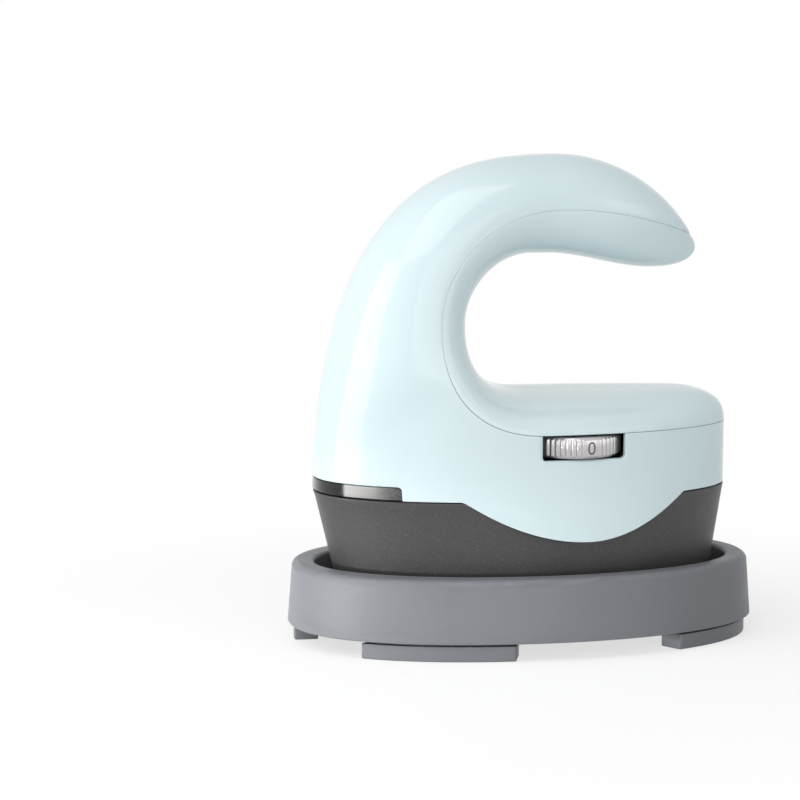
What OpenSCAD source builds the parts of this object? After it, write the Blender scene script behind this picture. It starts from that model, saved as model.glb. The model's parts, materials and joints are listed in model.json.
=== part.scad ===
// Mini handheld heat press standing in its safety base.
// +X points from the spine to the open side of the C, +Z is up, the dial is on the -Y side.
// The origin is on the table, under the middle of the base tray. Heights are above the table.

/* [Safety base] */
// Length of the tray over its wall
tray_l = 140; // [136:1:144]
// Width of the tray over its wall
tray_w = 78.5; // [76:0.5:84]
// Height of the rim above the table
tray_h = 23.5; // [21:0.5:26]
// Width of the flat-topped rim
rim_w = 6.6; // [5.6:0.2:7]
// Height of the feet
foot_h = 5.5; // [4:0.5:7]

/* [Body] */
// Rear of the body to the middle of the tray
body_rear = 63.2; // [62:0.1:64]
// Front of the body to the middle of the tray
body_front = 61.7; // [60.5:0.1:62.5]
// Width of the body
body_w = 65; // [62:0.5:67]
// Height of the parting between the skirt and the shell
part_z = 45.4; // [44:0.2:47]
// Depth of the round lobe in the parting
lobe_drop = 12.2; // [6:0.2:13]
// Height of the seam that runs round the deck
seam_z = 64.6; // [63.6:0.2:66]
// Height of the deck
deck_z = 73.2; // [72:0.2:75]

/* [Handle] */
// Height of the top of the handle
top_z = 143.4; // [140:0.2:148]
// Width of the grip
grip_w = 35; // [30:0.5:40]
// Place of the highest point of the handle
crown_x = 8.9; // [6:0.1:12]
// Radius of the front of the handle's top
brow_r = 47.5; // [46:0.5:50]
// Middle of the throat
throat_x = 1.35; // [0:0.05:3]
// Height of the middle of the throat
throat_z = 93.8; // [92:0.2:95]
// Reach of the throat behind its middle
throat_r = 20.45; // [18:0.05:22]
// Height of the throat's roof
roof_z = 114.4; // [112:0.2:116]

/* [Walls] */
// Wall of the outer shell
shell_t = 2.2; // [1.8:0.1:2.6]
// Wall of the inner cover
cover_t = 2.2; // [1.8:0.1:2.6]
// Wall of the skirt
skirt_t = 2.4; // [2:0.1:2.8]
// Gap where two mouldings meet
part_gap = 0.3; // [0.2:0.05:0.5]

/* [Heating plate] */
// Height of the plate's face above the table
plate_z = 10.5; // [10:0.5:11]
// Diameter of the tubular element
element_d = 6.4; // [6:0.2:7]

/* [Dial] */
// Diameter of the thumbwheel
dial_d = 28.8; // [28:0.2:29.4]
// Height of the thumbwheel
dial_h = 5.8; // [5:0.1:6]
// Place of the dial's axis along the body
dial_x = 10.75; // [9:0.25:12]
// Distance of the dial's axis from the middle plane
dial_y = 18.5; // [18.4:0.1:19]
// Number of flutes round the wheel
flutes = 54; // [36:2:60]

/* [Fineness] */
// Stations round each quarter of an outline
outline_steps = 18; // [8:1:24]
// Steps from the seam to the edge of a moulding
side_steps = 8; // [5:1:10]

/* [Hidden] */

$fn = 48;
round_fn = 96;

shell_blue = [0.83, 0.91, 0.93];
skirt_grey = [0.3, 0.3, 0.31];
base_grey = [0.52, 0.53, 0.55];
bare_metal = [0.76, 0.76, 0.77];
board_green = [0.16, 0.4, 0.26];

// Exponents of the two oval families: plan outlines, and the side view of the spine
plan_n = 1.95;
plan_m = 2.17;
spine_n = 2.8;
// Centre and reach of the spine's side view
spine_x = 13;
spine_z = 20;
spine_h = top_z - spine_z;
spine_l = spine_x + body_rear;
// Exponents of the throat's lower quarter and of the cover's cross-section
throat_n = 2.4;
cover_n = 2;
cover_m = 2.8;
// Seam on the spine: how far it stands behind the throat's middle, and its top point
seam_back = 30.35;
seam_top_x = 8;
seam_top_z = top_z - 15.5;
// Width of the spine level with the throat's middle, and where the handle starts to narrow
nose_from = 20;
brow_z = top_z - brow_r;
// Angle on the handle's front at which the shell ends in a point
nose_a = 60.4;
nose_x = crown_x + brow_r * sin(nose_a);
nose_z = brow_z + brow_r * cos(nose_a);
// Lowest point of the handle's underside, and its tip
chin_x = 38;
chin_z = roof_z - 4.6;
tip_z = 116;
tip_x = crown_x + sqrt(brow_r * brow_r - pow(tip_z - brow_z, 2));

// Indicator window at the rear: from the rear end to window_x, window_h high
window_x = -40.3;
window_h = 4;

// Lobe of the parting
lobe_x = 12;
lobe_rear = 38;
lobe_front = 34;

half_w = body_w / 2;
// Length over which the spine narrows to the grip: up to the throat's middle, then round the arch
arch_l = 49;
path_l = throat_z - seam_z + arch_l;

function clamp(v, low, high) = min(max(v, low), high);
function smooth(v) = let (c = clamp(v, 0, 1)) c * c * (3 - 2 * c);
function mix(a, b, k) = a + (b - a) * k;
function signed_pow(v, p) = sign(v) * pow(abs(v), p);
function unit(v) = v / norm(v);
function flip(p) = [p.x, -p.y, p.z];

// Oval in plan with its own reach to the rear, to the front and to the sides
function oval(angle, rear, front, side) = [
    (cos(angle) > 0 ? front : rear) * signed_pow(cos(angle), 2 / plan_n),
    side * signed_pow(sin(angle), 2 / plan_m)];
function oval_points(rear, front, side) = [for (i = [0 : 4 * outline_steps - 1])
    oval(i * 90 / outline_steps, rear, front, side)];
function oval_width(x, rear, front, side) =
    side * pow(max(0, 1 - pow(abs(x) / (x > 0 ? front : rear), plan_n)), 1 / plan_m);

// Rear of the spine at a height
function rear_x(z) = let (rise = clamp((z - spine_z) / spine_h, 0, 1))
    spine_x - spine_l * pow(1 - pow(rise, spine_n), 1 / spine_n);
// Parting between skirt and shell: level, with a round lobe that dips on both sides
function part_line(x) = let (u = (x - lobe_x) / (x < lobe_x ? lobe_rear : lobe_front))
    part_z - lobe_drop * pow(max(0, 1 - u * u), 1.3);
// Lower edge of the shell: the parting, raised round the rear end for the window
function shell_edge(x) = x < window_x - 1.2 ? part_z + window_h
    : x < window_x ? mix(part_z + window_h, part_z + window_h - 1.1, (x - window_x + 1.2) / 1.2)
    : part_line(x);
// Height of the deck, rounded off towards the front end
deck_flat = 46;
deck_n = 2.2;
function deck_top(x) = let (u = max(0, (x - deck_flat) / (body_front - deck_flat)))
    seam_z + (deck_z - seam_z) * pow(max(0, 1 - pow(u, deck_n)), 1 / deck_n);

// Width of the spine and the handle along their length
function spine_w(length) = mix(half_w, grip_w / 2, smooth(length / path_l));

// Half width of the body on its side, before the inner edges are rounded
function spine_side(z, x) = let (
        from = throat_x - seam_back,
        k = clamp((from - x) / (from - rear_x(z)), 0, 1))
    spine_w(z - seam_z) * pow(1 - pow(k, plan_n), 1 / plan_m);
function fan_side(x, z, angle) = let (
        blend = smooth((z - seam_z) / (throat_z - seam_z)) * smooth(angle / 45),
        plan = oval_width(x, -rear_x(max(z, part_z)), body_front, half_w))
    mix(plan, spine_side(z, x), blend);

// A station is [seam point, outer point, inner point, kind, where], all points in the side view
corner_angle = atan((throat_x + body_rear) / (throat_z - part_z));
window_angle = atan((throat_x - window_x) / (throat_z - part_z));
fan_angles = [for (a = [6 : 6 : window_angle - 3]) a, window_angle - 0.1, window_angle + 0.15,
    window_angle + 1.4, for (a = [window_angle + 4 : 3.2 : corner_angle - 1]) a,
    corner_angle, for (a = [corner_angle + 5 : 5.3 : 88]) a, 90];

function deck_station(angle) = let (x = body_front * pow(cos(angle), 2 / plan_n))
    [[x, seam_z], [x, part_line(x)], [x, deck_top(x)], 0, 0];
function fan_outer(angle) = angle < corner_angle
    ? let (x = throat_x - (throat_z - part_z) * tan(angle)) [x, shell_edge(x)]
    : let (z = max(throat_z - (throat_x + body_rear) / tan(angle), part_z + window_h)) [rear_x(z), z];
function quarter(angle, reach, height, n) =
    [-reach * pow(sin(angle), 2 / n), height * pow(max(0, cos(angle)), 2 / n)];
function fan_station(angle) = let (
        s = quarter(angle, seam_back, seam_z - throat_z, throat_n),
        t = quarter(angle, throat_r, deck_z - throat_z, throat_n))
    [[throat_x + s.x, throat_z + s.y], fan_outer(angle), [throat_x + t.x, throat_z + t.y], 1, angle];
spine_from = asin(pow((throat_z - spine_z) / spine_h, spine_n / 2));
spine_to = acos(pow((spine_x - crown_x) / spine_l, spine_n / 2));
function arch_station(angle) = let (
        b = mix(spine_from, spine_to, angle / 90),
        seam_l = seam_top_x - throat_x + seam_back)
    [[seam_top_x - seam_l * cos(angle), throat_z + (seam_top_z - throat_z) * sin(angle)],
     [spine_x - spine_l * pow(cos(b), 2 / spine_n), spine_z + spine_h * pow(sin(b), 2 / spine_n)],
     [throat_x - throat_r * cos(angle), throat_z + (roof_z - throat_z) * sin(angle)], 2, angle];
function grip_inner(u) = u < 0.6 ? let (x = mix(throat_x, chin_x, u / 0.6))
        [x, mix(roof_z, chin_z, smooth((x - throat_x) / (chin_x - throat_x)))]
    : u < 0.9 ? let (a = 90 * (u - 0.6) / 0.3)
        [mix(chin_x, tip_x, pow(sin(a), 2 / 2.3)), mix(tip_z, chin_z, pow(cos(a), 2 / 2.3))]
    : let (a = mix(asin((tip_x - crown_x) / brow_r), nose_a, (u - 0.9) / 0.1))
        [crown_x + brow_r * sin(a), brow_z + brow_r * cos(a)];
function grip_seam(x) = let (from = seam_top_x + 3)
    mix(seam_top_z, nose_z, pow(max(0, (x - from) / (nose_x - from)), 1.8));
function grip_station(u) = let (v = sin(90 * u), x = mix(seam_top_x, nose_x, v))
    [u == 1 ? [nose_x, nose_z] : [x, grip_seam(x)],
     [crown_x + brow_r * sin(nose_a * v), brow_z + brow_r * cos(nose_a * v)],
     u == 1 ? [nose_x, nose_z] : grip_inner(u), 3, x];

stations = [
    for (i = [0 : outline_steps - 4]) deck_station(i * 90 / (outline_steps - 3)),
    deck_station(90 - 90 / (outline_steps - 3) / 2.2),
    for (a = fan_angles) fan_station(a),
    for (a = [10 : 10 : 90]) arch_station(a),
    for (u = [0.09 : 0.09 : 0.46]) grip_station(u),
    for (u = [0.53, 0.6, 0.66, 0.71, 0.75, 0.79, 0.83, 0.865, 0.9, 0.95, 1]) grip_station(u)];
last = len(stations) - 1;

// Half width of the grip, drawn in round to its nose
function nose_w(x) = let (u = clamp((x - nose_from) / (nose_x - nose_from), 0, 1))
    grip_w / 2 * sqrt(1 - pow(u, 2.2));
// Half width of the untrimmed side at a place that is k of the way from the seam to the outer profile
function side_at(s, p, k) =
    s[3] == 0 ? oval_width(p.x, body_rear, body_front, half_w)
    : s[3] == 1 ? fan_side(p.x, p.y, s[4])
    : (s[3] == 2 ? spine_w(path_l - arch_l * (1 - s[4] / 90)) : nose_w(s[4]))
        * pow(max(0, 1 - pow(max(k, 0), plan_n)), 1 / plan_m);

// The shell's side from the seam (k = 0) to its edge, and the cover's from the seam to the throat
function shell_point(i, j) = let (
        s = stations[i], k = sin(90 * j / side_steps),
        p = mix(s[0], s[1], k), open = s[3] == 0 || (s[3] == 1 && s[4] < corner_angle))
    [p.x, (j == side_steps && !open) || i == 0 || i == last ? 0 : -side_at(s, p, k), p.y];
function cover_dir(i) = i < 2 ? [0, 1] : i > last - 2 ? [0.3, -0.95] : unit(stations[i][2] - stations[i][0]);
function cover_point(i, j) = let (
        s = stations[i], a = 90 * j / side_steps,
        from = s[0] + cover_dir(i) * part_gap,
        to = i == 0 || i == last ? from : s[2],
        p = mix(from, to, sin(a)))
    [p.x, j == side_steps || i == 0 || i == last ? 0
        : -side_at(s, p, 0) * pow(1 - pow(sin(a), cover_n), 1 / cover_m), p.y];

shell_grid = [for (i = [0 : last]) [for (j = [0 : side_steps]) shell_point(i, j)]];
cover_grid = [for (i = [0 : last]) [for (j = [0 : side_steps]) cover_point(i, j)]];

// Inner face of a wall: each point moved in along the surface's normal
pole_normals = [[1, 0, 0], [sin(nose_a), 0, cos(nose_a)]];
function grid_normal(g, i, j, side) = let (
        m = len(g) - 1, n = len(g[0]) - 1, p = g[i][j],
        a = i == 0 ? flip(g[1][j]) : g[i - 1][j],
        b = i == m ? p : g[i + 1][j],
        c = j == 0 ? p : g[i][j - 1],
        d = j < n ? g[i][j + 1] : p.y == 0 ? flip(g[i][j - 1]) : p,
        v = cross(b - a, d - c))
    norm(v) < 1e-4 ? pole_normals[i == 0 ? 0 : 1] : side * unit(p.y == 0 ? [v.x, 0, v.z] : v);
function inner_grid(g, t, side) = [for (i = [0 : len(g) - 1]) [for (j = [0 : len(g[0]) - 1])
    g[i][j] - grid_normal(g, i, j, side) * t]];

// The cover's inner face, its edge drawn back from the seam
cover_back = 0.9;
cover_full = inner_grid(cover_grid, cover_t, -1);
cover_inner = [for (i = [0 : last]) let (d = cover_dir(i) * cover_back)
    [for (j = [0 : side_steps]) j == 0 || i == 0 || i == last ? cover_full[i][j] + [d.x, 0, d.y]
        : cover_full[i][j]]];

// Two-sided wall mirrored in the middle plane; points on that plane are shared by both halves
module skin(outer, inner, side) {
    n = len(outer[0]);
    m = len(outer);
    layers = [outer, inner];
    half = [for (l = layers, row = l) each row];
    points = concat(half, [for (p = half) flip(p)]);
    function id(l, far, i, j) = let (
            k = norm(layers[l][i][j] - layers[l][i][0]) < 1e-6 ? 0 : j,
            near = l * m * n + i * n + k)
        near + (far && abs(half[near].y) > 1e-9 ? 2 * m * n : 0);
    function tri(a, b, c) = a == b || b == c || c == a ? [] : [[a, b, c]];
    function quad(a, b, c, d, turn) = turn ? concat(tri(a, b, d), tri(b, c, d))
        : concat(tri(a, d, b), tri(b, d, c));
    faces = [
        for (far = [false, true], l = [0, 1], i = [0 : m - 2], j = [0 : n - 2])
            each quad(id(l, far, i, j), id(l, far, i + 1, j), id(l, far, i + 1, j + 1),
                id(l, far, i, j + 1), (far != (l == 1)) == side),
        for (far = [false, true], i = [0 : m - 2], j = [0, n - 1])
            if (j == 0 || abs(outer[i][j].y) > 1e-9 || abs(outer[i + 1][j].y) > 1e-9)
                each quad(id(0, far, i, j), id(1, far, i, j), id(1, far, i + 1, j),
                    id(0, far, i + 1, j), (far == (j == 0)) == side)];
    polyhedron(points, faces, convexity = 10);
}

// Solid through rings of equal length; loop joins the last ring to the first
module loft(rings, loop = false) {
    n = len(rings[0]);
    m = len(rings);
    faces = [for (i = [0 : m - (loop ? 1 : 2)], j = [0 : n - 1])
        let (k = (j + 1) % n, low = i * n, high = (i + 1) % m * n)
        let (a = low + j, b = low + k, c = high + k, d = high + j)
        each [[a, c, b], [a, d, c]]];
    caps = loop ? [] : [[for (j = [0 : n - 1]) j], [for (j = [n - 1 : -1 : 0]) (m - 1) * n + j]];
    polyhedron([for (r = rings) each r], concat(faces, caps), convexity = 10);
}

// Skirt: reach to the rear, front and side at a height, drawn in towards the plate
skirt_gap = 0.45;
lip_h = 2;
lip_t = 1.2;
skirt_z = plate_z + 2.8;
rear_draft = 0.264;
front_draft = 0.157;
side_draft = 0.16;
function skirt_reach(z, inset) = let (d = max(0, part_z - z))
    [body_rear - d * rear_draft - inset,
     body_front - d * front_draft - inset,
     half_w - d * side_draft - inset];
function skirt_point(angle, z, inset) = let (
        r = skirt_reach(z, inset),
        p = oval(angle, r[0], r[1], r[2]))
    [p.x, p.y, z];
// Ring whose height follows the parting, k of the way up from the skirt's foot, plus lift
function skirt_ring(k, inset, lift) = [for (i = [0 : 4 * outline_steps - 1]) let (
        angle = i * 90 / outline_steps,
        top = part_line(oval(angle, body_rear, body_front, half_w).x),
        z = mix(skirt_z, top, k))
    skirt_point(angle, z, inset) + [0, 0, lift]];
// Level oval from the skirt's own reach at a height
function level_oval(z, inset) = let (r = skirt_reach(z, inset)) oval_points(r[0], r[1], r[2]);

// Tray: reach of each ring from the outer wall, going up outside and down inside
tray_draft = 1.2;
floor_t = 3;
function tray_oval(angle, inset) =
    oval(angle, tray_l / 2 - inset, tray_l / 2 - inset, tray_w / 2 - inset);
function tray_ring(inset, z) = [for (i = [0 : 4 * outline_steps - 1])
    let (p = tray_oval(i * 90 / outline_steps, inset)) [p.x, p.y, z]];
rest_z = plate_z - foot_h - floor_t - 0.05;

module base_tray() {
    out_r = 1.8;
    in_r = 1.2;
    inner = tray_draft + rim_w;
    color(base_grey) {
        loft([
            tray_ring(1, foot_h), tray_ring(0.2, foot_h + 0.4), tray_ring(0, foot_h + 1.2),
            for (a = [0 : 22.5 : 90])
                tray_ring(tray_draft + out_r * (1 - cos(a)), tray_h - out_r * (1 - sin(a))),
            for (a = [90 : -30 : 0])
                tray_ring(inner - in_r * (1 - cos(a)), tray_h - in_r * (1 - sin(a))),
            tray_ring(inner + 0.4, foot_h + floor_t)]);
        // Rest blocks on the floor that carry the plate
        for (x = [-34, 0, 34], y = [-14, 14])
            translate([x, y, foot_h + floor_t]) cylinder(d = 9, h = rest_z);
    }
}

// Foot: a stretch of the tray's own outline, between two angles
foot_inset = 1.6;
foot_w = 7.5;
module foot(from, to) {
    steps = 10;
    outer = [for (i = [0 : steps]) tray_oval(mix(from, to, i / steps), foot_inset)];
    inner = [for (i = [steps : -1 : 0]) tray_oval(mix(from, to, i / steps), foot_inset + foot_w)];
    color(base_grey) linear_extrude(foot_h) polygon(concat(outer, inner));
}
rear_foot = [-139.4, -99.3];
front_foot = [-52.9, -3.7];
module foot_near_rear() foot(rear_foot[0], rear_foot[1]);
module foot_near_front() foot(front_foot[0], front_foot[1]);
module foot_far_front() foot(rear_foot[0] + 180, rear_foot[1] + 180);
module foot_far_rear() foot(front_foot[0] + 180, front_foot[1] + 180);

// Gland in the front wall for a mains lead
gland_z = 55;
gland_neck_d = 11;
lead_d = 6.6;

// Slot for the dial: open to the seam, rounded at its lower corners
slot_l = 24.2;
slot_h = 7.3;
slot_r = 1.2;
module dial_slot() {
    depth = 12;
    translate([dial_x, -half_w + depth / 2, seam_z - slot_h]) rotate([90, 0, 0]) linear_extrude(depth) {
        translate([-slot_l / 2, slot_r]) square([slot_l, slot_h]);
        translate([-slot_l / 2 + slot_r, 0]) square([slot_l - 2 * slot_r, slot_h]);
        for (x = [-1, 1]) translate([x * (slot_l / 2 - slot_r), slot_r]) circle(slot_r);
    }
}

module outer_shell() {
    color(shell_blue) difference() {
        skin(shell_grid, inner_grid(shell_grid, shell_t, 1), true);
        dial_slot();
        translate([body_front - 8, 0, gland_z]) rotate([0, 90, 0])
            cylinder(d = gland_neck_d + 0.2, h = 12);
    }
}

module inner_cover() {
    color(shell_blue)
        skin(cover_grid, cover_inner, false);
}

module base_skirt() {
    shelf = shell_t + 0.7;
    color(skirt_grey) loft([
        skirt_ring(0, 0.6, 0), skirt_ring(0.03, 0, 0), skirt_ring(0.5, 0, 0),
        skirt_ring(1, 0, -skirt_gap), skirt_ring(1, shelf, -skirt_gap), skirt_ring(1, shelf, lip_h),
        skirt_ring(1, shelf + lip_t, lip_h), skirt_ring(1, shelf + lip_t, -2),
        skirt_ring(0.5, skirt_t, 0), skirt_ring(0, skirt_t, 0)], true);
}

// Indicator window round the rear end: a strip of the body's own outline
window_steps = 10;
function window_ring(z, inset, x, turn) = let (
        r = -rear_x(z) - inset,
        a = acos(pow(-x / r, plan_n / 2)))
    [for (i = [-window_steps : window_steps])
        let (p = oval(180 + turn * a * i / window_steps, r, r, half_w - inset)) [p.x, p.y, z]];
module window_strip(low, high, inset, t, x) {
    loft([for (z = [low, high])
        concat(window_ring(z, inset, x, 1), window_ring(z, inset + t, x, -1))]);
}
lens_low = part_z + 0.1;
lens_high = part_z + window_h - 0.8;
lens_gap = 0.1;
lens_t = 1.9;
guide_t = 1.6;
module indicator_lens() {
    color([0.2, 0.2, 0.21, 0.8])
        window_strip(lens_low, lens_high, lens_gap, lens_t, window_x - 1.5);
}
module light_guide() {
    color([0.92, 0.92, 0.88, 0.7])
        window_strip(lens_low + 0.4, lens_high, lens_gap + lens_t + 2.6, guide_t, window_x - 6);
}

// Small board behind the window, with three lamps on it
led_board_z = 43;
led_board_t = 1.2;
led_post = [[-49.5, -7], [-49.5, 7]];
led_screw_d = 2;
module indicator_board() {
    color(board_green) difference() {
        translate([-53.5, -11, led_board_z]) cube([8.5, 22, led_board_t]);
        for (p = led_post) translate([p.x, p.y, led_board_z - 1]) cylinder(d = led_screw_d + 0.4, h = 4);
    }
}
module indicator_leds() {
    color("white") for (y = [-3.5, 0, 3.5])
        translate([-53.3, y - 0.8, led_board_z + led_board_t]) cube([2, 1.6, 1]);
}

// Plate: flange, raised body with a groove for the element, and a boss at each corner
flange_t = 2.4;
body_t = 4;
bosses = [[36, -12], [36, 12], [-42, -8], [-42, 8]];
boss_d = 8;
boss_top = 23.6;
plate_screw_d = 3;
sensor_screw_d = 2.4;
element_r = 11;
element_leg = 20;
element_z = plate_z + flange_t + body_t + element_d / 2 - 1.4;
module element_path(d) {
    translate([element_leg, 0, element_z]) rotate([0, 0, -90]) rotate_extrude(angle = 180)
        translate([element_r, 0]) circle(d = d);
    for (y = [-1, 1]) translate([-element_leg, y * element_r, element_z]) rotate([0, 90, 0])
        cylinder(d = d, h = 2 * element_leg);
}
module heating_plate() {
    low = plate_z + flange_t;
    color(bare_metal) difference() {
        union() {
            translate([0, 0, plate_z]) linear_extrude(flange_t) polygon(level_oval(skirt_z, 0.5));
            translate([0, 0, low]) linear_extrude(body_t) polygon(level_oval(skirt_z, 4.2));
            for (b = bosses) translate([b.x, b.y, low]) cylinder(d = boss_d, h = boss_top - low);
        }
        element_path(element_d + 0.1);
        for (b = bosses) translate([b.x, b.y, boss_top - 6.4])
            cylinder(d = plate_screw_d, h = 8);
        for (x = clip_x) translate([x, clip_screw_y, sensor_z - 4])
            cylinder(d = sensor_screw_d, h = 6);
    }
}
module heating_element() color([0.35, 0.34, 0.33]) element_path(element_d);
pin_l = 9;
pin_d = 2.5;
module element_terminals() {
    color(bare_metal) for (y = [-1, 1])
        translate([-element_leg - pin_l, y * element_r, element_z]) rotate([0, 90, 0])
            cylinder(d = pin_d, h = pin_l);
}

// Sensors on the plate between the legs of the element
sensor_z = plate_z + flange_t + body_t;
sensor_d = 4;
module thermistor() {
    color([0.75, 0.5, 0.3]) translate([-14, -2.6, sensor_z + sensor_d / 2]) rotate([0, 90, 0])
        cylinder(d = sensor_d, h = 10);
}
module thermal_fuse() {
    color(bare_metal) translate([4, -2.6, sensor_z + sensor_d / 2]) rotate([0, 90, 0])
        cylinder(d = sensor_d, h = 11);
}
clip_x = [-9, 9.5];
clip_t = 0.8;
clip_w = 5;
clip_screw_y = 3.4;
module sensor_clips() {
    over = sensor_z + sensor_d + 0.05;
    color(bare_metal) for (x = clip_x) difference() {
        union() {
            translate([x - clip_w / 2, -5.6, over]) cube([clip_w, 6.2, clip_t]);
            translate([x - clip_w / 2, -0.2, sensor_z]) cube([clip_w, clip_t, sensor_d + 0.05]);
            translate([x - clip_w / 2, -0.2, sensor_z]) cube([clip_w, 6.2, clip_t]);
        }
        translate([x, clip_screw_y, sensor_z - 1]) cylinder(d = sensor_screw_d + 0.2, h = 4);
    }
}

// Screw with a flat round head and a cross recess; the head's underside is at z = 0
module pan_screw(d, l, head_d, head_h) {
    slot_w = 0.6;
    translate([0, 0, -l]) cylinder(d = d, h = l);
    difference() {
        cylinder(d = head_d, h = head_h);
        for (a = [0, 90]) rotate([0, 0, a])
            translate([-head_d * 0.3, -slot_w / 2, head_h - 0.5]) cube([head_d * 0.6, slot_w, 1]);
    }
}
module sensor_screws() {
    color(bare_metal) for (x = clip_x) translate([x, clip_screw_y, sensor_z + clip_t])
        pan_screw(sensor_screw_d, clip_t + 3.6, 4, 1.4);
}

// Insulation pad and heat shield lie on the bosses, under the chassis
pad_t = 2.4;
shield_t = 0.8;
pad_z = boss_top;
shield_z = pad_z + pad_t;
chassis_z = shield_z + shield_t;
chassis_t = 3;
lead_hole_x = -34;
module pierced(inset, z, t) {
    difference() {
        translate([0, 0, z]) linear_extrude(t) polygon(level_oval(z, inset));
        for (b = bosses) translate([b.x, b.y, z - 1]) cylinder(d = plate_screw_d + 0.4, h = t + 2);
        for (y = [-1, 1]) translate([lead_hole_x, y * element_r, z - 1]) cylinder(d = 5, h = t + 2);
        children();
    }
}
module insulation_pad() color([0.9, 0.88, 0.8]) pierced(7, pad_z, pad_t);
module heat_shield() color(bare_metal) pierced(6, shield_z, shield_t);

board_z = 37;
board_x = [-22, 33];
board_y = 19;
board_t = 1.6;
post_x = [-18, 28];
post_y = 15.5;
clamp_x = 47;
clamp_y = 9;
clamp_post_z = gland_z - 5;
post_d = 6.5;
board_screw_d = 2.4;
module inner_chassis() {
    top = chassis_z + chassis_t;
    color([0.86, 0.86, 0.84]) difference() {
        union() {
            pierced(4.6, chassis_z, chassis_t);
            for (x = post_x, y = [-1, 1]) translate([x, y * post_y, top])
                cylinder(d = post_d, h = board_z - top);
            for (y = [-1, 1]) translate([clamp_x, y * clamp_y, top])
                cylinder(d = post_d, h = clamp_post_z - top);
            for (p = led_post) translate([p.x, p.y, top])
                cylinder(d = post_d - 1, h = led_board_z - top);
        }
        for (x = post_x, y = [-1, 1]) translate([x, y * post_y, board_z - 6])
            cylinder(d = board_screw_d, h = 8);
        for (y = [-1, 1]) translate([clamp_x, y * clamp_y, clamp_post_z - 8])
            cylinder(d = board_screw_d, h = 10);
        for (p = led_post) translate([p.x, p.y, led_board_z - 5])
            cylinder(d = led_screw_d, h = 6);
    }
}
module plate_screws() {
    color(bare_metal) for (b = bosses) translate([b.x, b.y, chassis_z + chassis_t])
        pan_screw(plate_screw_d, chassis_t + shield_t + pad_t + 5.6, 6, 2.2);
}

module control_board() {
    color(board_green) difference() {
        translate([board_x[0], -board_y - 3.5, board_z])
            cube([board_x[1] - board_x[0], 2 * board_y + 3.5, board_t]);
        for (x = post_x, y = [-1, 1]) translate([x, y * post_y, board_z - 1])
            cylinder(d = board_screw_d + 0.4, h = 4);
    }
}
module board_screws() {
    color(bare_metal) {
        for (x = post_x, y = [-1, 1]) translate([x, y * post_y, board_z + board_t])
            pan_screw(board_screw_d, 6, 5, 1.8);
        for (p = led_post) translate([p.x, p.y, led_board_z + led_board_t])
            pan_screw(led_screw_d, 5, 3.6, 1.4);
    }
}

// Parts that stand on the board
part_low = board_z + board_t;
module relay() {
    size = [19, 15.5, 15.5];
    color([0.15, 0.3, 0.6]) translate([-12, 1, part_low]) difference() {
        cube(size);
        translate([-1, 3, size.z - 0.5]) cube([size.x + 2, 0.6, 1]);
    }
}
module capacitor() {
    can_d = 11;
    can_h = 16;
    color([0.85, 0.75, 0.2]) translate([20, 10, part_low]) {
        cylinder(d = can_d, h = can_h);
        translate([0, 0, can_h]) cylinder(d1 = can_d, d2 = can_d - 1.4, h = 0.6);
    }
}
module terminal_block() {
    block_x = 25.5;
    color([0.2, 0.5, 0.3]) translate([block_x, -6, part_low]) difference() {
        cube([7, 15, 10]);
        for (y = [2.5, 7.5, 12.5]) {
            translate([3.5, y, 5]) cylinder(d = 3.4, h = 6);
            translate([2.5, y, 3]) rotate([0, 90, 0]) cylinder(d = 2.6, h = 6);
        }
    }
}

// Rotary switch under the dial; its bush carries the turning shaft
dial_top = seam_z - 0.4;
dial_low = dial_top - dial_h;
switch_h = 10;
bush_d = 9;
shaft_d = 6;
shaft_gap = 0.05;
shaft_low = part_low + 4.3;
module rotary_switch() {
    bush_top = dial_low - 1.2;
    top = part_low + switch_h;
    color([0.2, 0.2, 0.22]) difference() {
        union() {
            translate([dial_x - 7.5, -dial_y - 3.9, part_low]) cube([15, 15, switch_h]);
            translate([dial_x, -dial_y, top]) cylinder(d = bush_d, h = bush_top - top);
        }
        translate([dial_x, -dial_y, shaft_low - 0.3]) cylinder(d = shaft_d + 2 * shaft_gap, h = 20);
    }
}
module switch_shaft() {
    color(bare_metal) translate([dial_x, -dial_y, shaft_low])
        cylinder(d = shaft_d, h = dial_top - 1.2 - shaft_low);
}
hub_d = 18;
module dial_hub() {
    spoke_r = 6.4;
    color([0.25, 0.25, 0.27]) translate([dial_x, -dial_y, dial_low]) difference() {
        union() {
            translate([0, 0, 0.6]) cylinder(d = hub_d, h = dial_h - 1.6);
            translate([0, 0, -0.8]) cylinder(d = 10, h = 2);
        }
        translate([0, 0, -2]) cylinder(d = shaft_d, h = dial_h + 4);
        for (a = [0 : 60 : 300]) rotate([0, 0, a]) translate([spoke_r, 0, -2])
            cylinder(d = 3, h = dial_h + 4);
    }
}
// Fluted rim with four flat label faces; the first faces out through the slot
label_step = 45;
labels = 4;
label_at = -79;
label_half = 11.5;
label_back = 0.25;
flute_back = 0.45;
dial_edge = 0.7;
function turn_gap(a, b) = abs((a - b + 900) % 360 - 180);
function on_label(a) = min([for (k = [0 : labels - 1]) turn_gap(a, label_at - k * label_step)]) < label_half;
function rim_r(i) = dial_d / 2 - (on_label(i * 90 / flutes) ? label_back : i % 4 < 2 ? 0 : flute_back);
module dial_ring() {
    points = [for (i = [0 : 4 * flutes - 1]) let (a = i * 90 / flutes) rim_r(i) * [cos(a), sin(a)]];
    color([0.8, 0.79, 0.79]) translate([dial_x, -dial_y, dial_low]) difference() {
        union() {
            translate([0, 0, dial_edge]) linear_extrude(dial_h - 2 * dial_edge) polygon(points);
            cylinder(d = dial_d - 2, h = dial_h, $fn = round_fn);
        }
        translate([0, 0, -1]) cylinder(d = hub_d, h = dial_h + 2);
    }
}

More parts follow.
